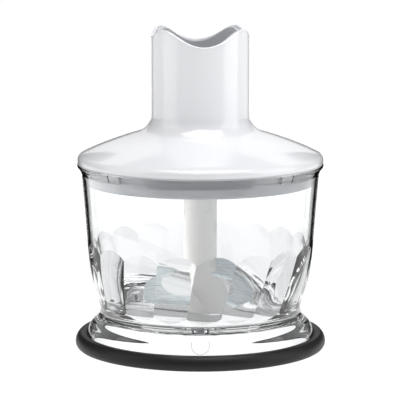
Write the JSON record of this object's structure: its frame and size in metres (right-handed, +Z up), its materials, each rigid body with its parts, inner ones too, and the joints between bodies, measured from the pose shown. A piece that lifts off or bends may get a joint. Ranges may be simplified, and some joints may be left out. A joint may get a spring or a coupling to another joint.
{
  "type": "food processor",
  "caption": "Compact geared chopper: clear faceted bowl on a rubber ring, white lid with a wave-topped chimney for a hand blender motor, and a sickle-bladed knife on a centre pin.",
  "frame": {"origin": "on the bowl's axis, at the underside of the rubber ring that it stands on", "axes": "+Z up along the axis of bowl, knife and lid; -Y is the front, towards the viewer; +X to the viewer's right"},
  "size_m": [0.13, 0.13, 0.1655],
  "materials": {
    "black_rubber": "matte black rubber",
    "clear_plastic": "clear glossy plastic",
    "lid_gloss": "high gloss white",
    "white_plastic": "satin warm white",
    "grey_plastic": "light grey, fine grained",
    "bearing_plastic": "natural acetal",
    "gear_plastic": "moulded acetal",
    "seal_rubber": "soft red-brown rubber",
    "blade_steel": "fine ground stainless steel",
    "steel": "turned steel"
  },
  "bodies": {
    "ring": {"anti_slip_ring": "black_rubber"},
    "bowl": {"bowl": "clear_plastic", "centre_pin": "steel", "pin_holder": "grey_plastic"},
    "knife": {"blade_hub": "white_plastic", "hub_bush": "bearing_plastic", "blade_lower": "blade_steel", "blade_upper": "blade_steel"},
    "lid": {"lid_shell": "lid_gloss", "coupling_socket": "grey_plastic", "lid_base_plate": "grey_plastic", "gear_housing": "grey_plastic", "housing_screws": "steel", "ring_gear": "gear_plastic", "upper_bush": "bearing_plastic", "output_bush": "bearing_plastic", "output_seal": "seal_rubber", "thrust_washers": "steel"},
    "carrier": {"planet_carrier": "gear_plastic", "carrier_top_plate": "gear_plastic", "planet_pins": "steel", "output_drive": "steel"},
    "sun": {"sun_gear": "steel", "input_shaft": "steel", "input_coupling": "gear_plastic", "retaining_clip": "steel"},
    "planet_1": {"planet_gear_1": "gear_plastic"},
    "planet_2": {"planet_gear_2": "gear_plastic"},
    "planet_3": {"planet_gear_3": "gear_plastic"}
  },
  "joints": [
    {"name": "bowl_lift", "type": "slide", "parent": "ring", "child": "bowl", "axis": [0, 0, 1], "range_m": [0, 0.05]},
    {"name": "lid_lift", "type": "slide", "parent": "bowl", "child": "lid", "axis": [0, 0, 1], "range_m": [0, 0.12]},
    {"name": "knife_spin", "type": "hinge", "parent": "bowl", "child": "knife", "pos_m": [0, 0, 0.03], "axis": [0, 0, 1], "continuous": true},
    {"name": "carrier_spin", "type": "hinge", "parent": "lid", "child": "carrier", "pos_m": [0, 0, 0.1], "axis": [0, 0, 1], "continuous": true},
    {"name": "sun_spin", "type": "hinge", "parent": "lid", "child": "sun", "pos_m": [0, 0, 0.1], "axis": [0, 0, 1], "continuous": true},
    {"name": "planet_1_spin", "type": "hinge", "parent": "carrier", "child": "planet_1", "pos_m": [0.01125, 0, 0.1074], "axis": [0, 0, 1], "continuous": true},
    {"name": "planet_2_spin", "type": "hinge", "parent": "carrier", "child": "planet_2", "pos_m": [-0.00562, 0.00974, 0.1074], "axis": [0, 0, 1], "continuous": true},
    {"name": "planet_3_spin", "type": "hinge", "parent": "carrier", "child": "planet_3", "pos_m": [-0.00562, -0.00974, 0.1074], "axis": [0, 0, 1], "continuous": true}
  ],
  "couplings": [
    {"joint": "carrier_spin", "follows": "knife_spin", "ratio": 1},
    {"joint": "sun_spin", "follows": "knife_spin", "ratio": 5},
    {"joint": "planet_1_spin", "follows": "knife_spin", "ratio": -2.6667},
    {"joint": "planet_2_spin", "follows": "knife_spin", "ratio": -2.6667},
    {"joint": "planet_3_spin", "follows": "knife_spin", "ratio": -2.6667}
  ]
}
